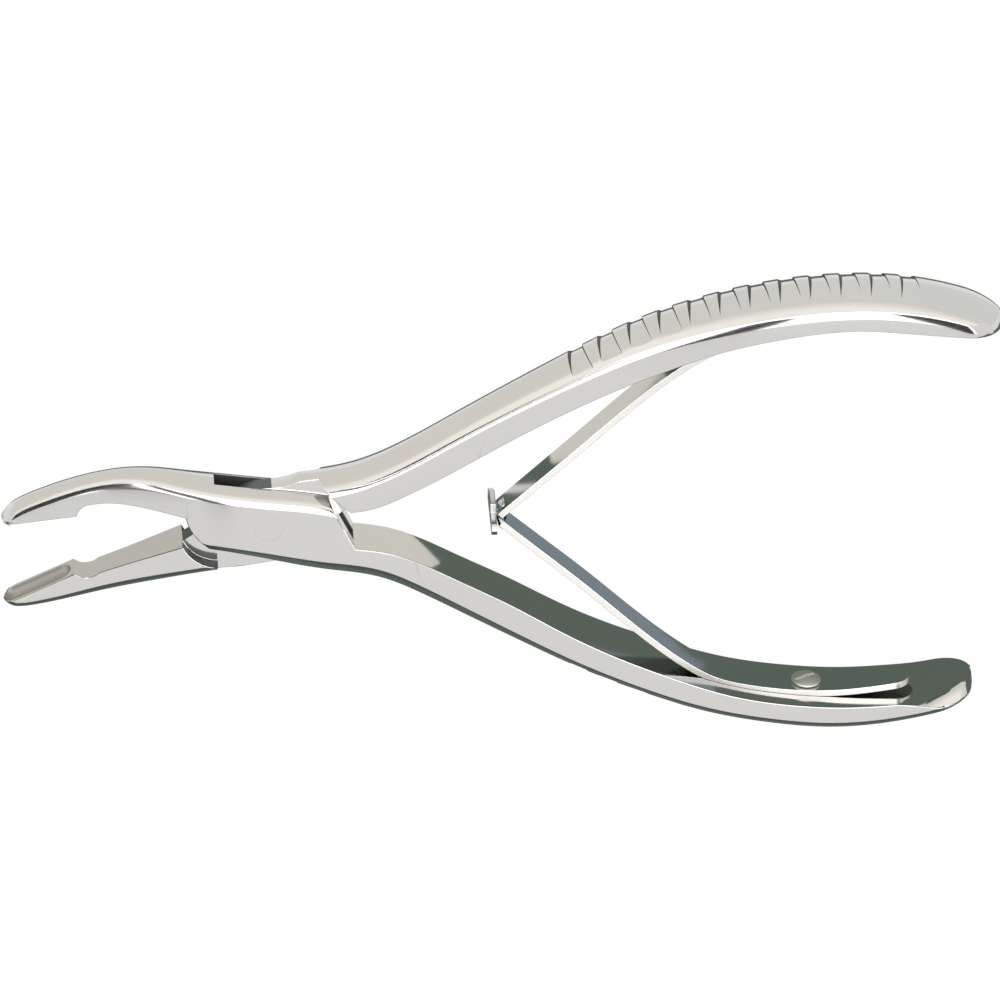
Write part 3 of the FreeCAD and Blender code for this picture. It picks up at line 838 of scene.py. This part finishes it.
upper_leaf = leaf("upper_leaf_blade", UPPER_LEAF_LINE, True)
notch = plate("notch", [(-1, -2), (1.4, -2), (1.4, 2), (-1, 2)], -1.1, 1.1)
notch.data.transform(Matrix.Translation((*UPPER_LEAF_LINE[0], 0)) @ Matrix.Rotation(
    math.radians(45), 4, "Z"))
carve(upper_leaf, notch)

for piece, cad_node, body, joint_body, height_y in (
        (lower_leaf, "lower_leaf_spring", "box_half", "lower_leaf", -0.03),
        (upper_leaf, "upper_leaf_spring", "tongue_half", "upper_leaf", 0.03)):
    break_edges(piece, LEAF_BREAK)
    finish_piece(piece, cad_node)
    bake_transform(piece)

# %% [markdown]
# ## The spring screws
# A screw with a low domed head and a driver slot holds each leaf. It is turned on a
# lathe, so its profile is spun round its axis as a row of rings, and the slot is sawn.

# %% The spring screws
SEAT_CLEARANCE = 0.08
SCREW_LENGTH = 3.0
SCREW_HEAD_RADIUS, SCREW_HEAD_HEIGHT, DOME_RADIUS = 2.1, 0.9, 4.5
SAW_HALF_WIDTH, SAW_DEPTH, SAW_TURN = 0.3, 0.4, math.radians(-60)


def spring_screw(name, knots, flip, cad_node, body):
    seat = LEAF_THICKNESS / 2 + SEAT_CLEARANCE
    top, end = seat + SCREW_HEAD_HEIGHT, seat - SCREW_LENGTH
    profile = [(0.05, end), (SCREW_RADIUS - 0.15, end), (SCREW_RADIUS, end + 0.15),
               (SCREW_RADIUS, seat), (SCREW_HEAD_RADIUS - 0.15, seat),
               (SCREW_HEAD_RADIUS, seat + 0.15)]
    for degrees in (90, 60, 40, 25, 12, 3):
        out = SCREW_HEAD_RADIUS * math.sin(math.radians(degrees))
        profile.append((out, top - DOME_RADIUS + math.sqrt(DOME_RADIUS ** 2 - out * out)))
    turns = [math.tau * i / 48 for i in range(48)]
    rings = [[Vector((out * math.cos(turn), up, out * math.sin(turn))) for turn in turns]
             for out, up in profile]
    screw = skin(name, rings)
    # The whole screw gets the lighter steel: painted light on its head.
    screw.data.materials.append(SCREW_LIGHT_STEEL)
    floor_y, open_y = top - SAW_DEPTH, top + 1
    saw = plate("saw", [(-SAW_HALF_WIDTH, floor_y), (SAW_HALF_WIDTH, floor_y),
                        (SAW_HALF_WIDTH, open_y), (-SAW_HALF_WIDTH, open_y)], -3, 3)
    saw.data.transform(Matrix.Rotation(SAW_TURN, 4, "Y"))
    carve(screw, saw)
    break_edges(screw, SCREW_BREAK)
    screw.data.transform(seat_frame(knots, SCREW_X, flip))
    finish_piece(screw, cad_node, body)


spring_screw("lower_screw_turned", LOWER_LEAF_LINE, False, "lower_spring_screw", "box_half")
spring_screw("upper_screw_turned", UPPER_LEAF_LINE, True, "upper_spring_screw", "tongue_half")

# %% [markdown]
# ## The camera
# The photograph is taken from far away with a long lens, looking down at the tool from
# the handles' side with a small turn. The three axes of that view were measured on the
# photograph, so the camera is set from them.

# %% The camera
FRAME_WIDTH = 0.1404
DISTANCE = 1.6
SENSOR_WIDTH = 36
right = Vector((0.998, 0, 0.0576)).normalized()
forward = Vector((0.0488, -0.53, -0.8466)).normalized()
up = right.cross(forward).normalized()
target = Vector((0.03257, 0.00131, 0.0036))
bpy.ops.object.camera_add(location=target - forward * DISTANCE)
camera = bpy.context.object
camera.data.sensor_width = SENSOR_WIDTH
camera.data.lens = SENSOR_WIDTH * DISTANCE / FRAME_WIDTH
axes = Matrix((right, up, -forward)).transposed().to_4x4()
camera.matrix_world = Matrix.Translation(target - forward * DISTANCE) @ axes
bpy.context.scene.camera = camera
print("lens", round(camera.data.lens), "mm")

# %% [markdown]
# ## Floor, light and cards
# Polished steel only shows what stands round it. The photographer had a white table, a
# big soft box overhead and dark room to the sides. The floor and the world are white to
# the camera and in the mirror, the lamp is plain, and cards that only the mirror sees
# stand where the real steel shows dark or warm bands: in front, behind, on the table
# round the tool, and four small dark ones over its rounded edges.

# %% Floor and world
def emission_material(name, color, strength, lit=0.0):
    """Glowing surface; the share lit is matt and takes shadows."""
    material = bpy.data.materials.new(name)
    material.use_nodes = True
    tree = material.node_tree
    tree.nodes.remove(tree.nodes["Principled BSDF"])
    glow = node(tree, "ShaderNodeEmission")
    glow.inputs["Color"].default_value = (*color, 1)
    glow.inputs["Strength"].default_value = strength
    matt = node(tree, "ShaderNodeBsdfDiffuse")
    matt.inputs["Color"].default_value = (*color, 1)
    blend = node(tree, "ShaderNodeMixShader")
    blend.inputs["Fac"].default_value = lit
    tree.links.new(glow.outputs["Emission"], blend.inputs[1])
    tree.links.new(matt.outputs["BSDF"], blend.inputs[2])
    tree.links.new(blend.outputs["Shader"], tree.nodes["Material Output"].inputs["Surface"])
    return material


def staged_plane(name, size, location, rotation, material):
    bpy.ops.object.select_all(action="DESELECT")
    bpy.ops.mesh.primitive_plane_add(size=1, location=location, rotation=rotation)
    plane = bpy.context.object
    plane.name = name
    plane.scale = (*size, 1)
    plane.data.materials.append(material)
    return plane


staged_plane("floor", (6, 6), (0, 0, -0.0021), (0, 0, 0),
             emission_material("white_table", (1, 1, 1), 1.02, 0.06))


def mirror_only(card):
    """A card that only the polish can see."""
    card.visible_camera = False
    card.visible_diffuse = False
    card.visible_shadow = False


def wall_card(name, size, location, rotation, color):
    mirror_only(staged_plane(name, size, location, rotation, emission_material(name, color, 1)))


def floor_card(name, points, height, color):
    """Flat card on the table, with its outline in millimetres like the steel's."""
    bpy.ops.object.select_all(action="DESELECT")
    bpy.ops.mesh.primitive_circle_add(vertices=len(points), fill_type="NGON")
    card = bpy.context.object
    card.name = name
    for vertex, (x, y) in zip(card.data.vertices, points):
        vertex.co = (x * MM, y * MM, height)
    card.data.materials.append(emission_material(name, color, 1))
    mirror_only(card)


def crown_line(knots, first, last, inset):
    """Points along the top of a crowned back, a little inside it."""
    line = guide(knots)
    return [(x, line(x) + HIGH_RISE(x) - inset) for x in np.linspace(first, last, 24)]


TABLE_Z = -0.00196
# The dark card follows the backs' crowns just outside them. It is a painted shadow of the tool on
# the table, running on into a dark stretch of table in front, and only the steel's reflections
# show it.
under = crown_line(BOX_HALF_HIGH, -37, -8, -0.5) + [(-4, 5.1), (2, 5.2)]
under += crown_line(TONGUE_HALF_HIGH, 7, 37, -0.1) + crown_line(TONGUE_HALF_HIGH, 42, 101, 0.35)
under += [(130, 20), (400, -60), (400, -900), (-400, -900), (-400, -60), (-60, -16), (-40, -12)]
floor_card("card_painted_shadow", under, -0.002, (0.14, 0.18, 0.15))
# The lighter cards laid on it leave gaps in the painted shadow, where the faces above reflect
# light.
floor_card("card_mouth", [(-50, 2), (-37, 0.9), (-27, 2.3), (-25, 3.9), (-12, 2), (-10, -2),
                          (-13, -3.2), (-24, -7.4), (-27, -7.8), (-37, -12), (-50, -18)],
           TABLE_Z, (0.72, 0.7, 0.65))
floor_card("card_joint", [(8, 3), (14.8, 2.4), (23.9, 7.2), (27, 9), (28, -6.4), (18.4, -5),
                          (8, -7)], TABLE_Z, (0.9, 0.88, 0.83))
floor_card("card_tips", [(31, -1.2), (32.4, -1.2), (32.6, 6.6), (31.2, 6.6)], TABLE_Z,
           (0.95, 0.92, 0.87))
floor_card("card_upper_leaf", [(37, 15), (40.8, 17.4), (49.2, 21.8), (52.4, 23.4), (51.6, 19.3),
                               (49.8, 17.5), (44, 11.9), (39.5, 7.2), (36, 8)],
           TABLE_Z, (0.92, 0.88, 0.8))
# A dark card between the handles: painted shade in the space between them, seen only in the
# reflections.
floor_card("card_painted_shade_between_handles", [(33.5, -1), (38, -5.6), (45, -12.2), (50.7, -17.7), (56, -21.3),
                               (60, -23.9), (65, -25.8), (68, -23.5), (60, -16), (48, -7),
                               (41, 1)], TABLE_Z, (0.27, 0.32, 0.37))
floor_card("card_table", [(-300, 60), (-45, 8), (-38, 5), (-20, 10), (2, 8.5), (20, 13), (45, 28),
                          (60, 34.5), (80, 37.5), (95, 36), (106, 31), (300, 60), (300, 2900),
                          (-300, 2900)], -0.00198, (0.95, 0.925, 0.88))

# The table card drifts from warm to neutral along the tool.
table_tree = bpy.data.materials["card_table"].node_tree
along = node(table_tree, "ShaderNodeSeparateXYZ")
drift = node(table_tree, "ShaderNodeMapRange")
drift.inputs["From Min"].default_value, drift.inputs["From Max"].default_value = 0.03, 0.09
drift_mix = node(table_tree, "ShaderNodeMix", data_type="RGBA")
drift_mix.inputs["A"].default_value = (0.95, 0.925, 0.88, 1)
drift_mix.inputs["B"].default_value = (0.93, 0.94, 0.93, 1)
table_tree.links.new(node(table_tree, "ShaderNodeTexCoord").outputs["Object"],
                     along.inputs["Vector"])
table_tree.links.new(along.outputs["X"], drift.inputs["Value"])
table_tree.links.new(drift.outputs["Result"], drift_mix.inputs["Factor"])
table_tree.links.new(drift_mix.outputs["Result"], table_tree.nodes["Emission"].inputs["Color"])

# %% Standing and hanging cards
upright_turn = (math.radians(90), 0, 0)
wall_card("card_front", (8, 1.9), (0, -1.6, 0.75), upright_turn, (0.1, 0.13, 0.115))
wall_card("card_warm", (9, 3.2), (0, 3, 1.55), upright_turn, (0.95, 0.925, 0.88))

# The warm card gets brighter towards its top.
warm_tree = bpy.data.materials["card_warm"].node_tree
height_split = node(warm_tree, "ShaderNodeSeparateXYZ")
ramp = node(warm_tree, "ShaderNodeMapRange")
for name, value in (("From Min", -0.36), ("From Max", -0.06), ("To Min", 1), ("To Max", 1.4)):
    ramp.inputs[name].default_value = value
warm_tree.links.new(node(warm_tree, "ShaderNodeTexCoord").outputs["Object"],
                    height_split.inputs["Vector"])
warm_tree.links.new(height_split.outputs["Y"], ramp.inputs["Value"])
warm_tree.links.new(ramp.outputs["Result"], warm_tree.nodes["Emission"].inputs["Strength"])

BEAM_Z, BEAM_HIGH_Y = 0.12, 0.09
for name, low_x, high_x, low_y in (("card_beam_1", -0.12, -0.031, -0.062),
                                   ("card_beam_2", -0.0215, -0.0065, -0.063),
                                   ("card_beam_3", 0.0445, 0.0695, -0.03),
                                   ("card_beam_4", 0.108, 0.16, -0.03)):
    wall_card(name, (high_x - low_x, BEAM_HIGH_Y - low_y),
              ((low_x + high_x) / 2, (BEAM_HIGH_Y + low_y) / 2, BEAM_Z), (0, 0, 0),
              (0.02, 0.025, 0.03))

# %% World
world = bpy.data.worlds.new("studio")
bpy.context.scene.world = world
world.use_nodes = True
backdrop = world.node_tree.nodes["Background"]
backdrop.inputs["Color"].default_value = (1, 1, 1, 1)
backdrop.inputs["Strength"].default_value = 1.0
print("world", world.name)

# %% The soft box
bpy.ops.object.light_add(type="AREA", location=(0.03, 0.475, 3.2))
lamp = bpy.context.object
lamp.name = "overhead"
lamp.data.shape = "RECTANGLE"
lamp.data.size, lamp.data.size_y = 4.6, 4.05
lamp.data.energy = 115
print("lamp", lamp.name, lamp.data.energy, "W")

# %% Finish
bpy.context.scene.view_settings.view_transform = "Standard"
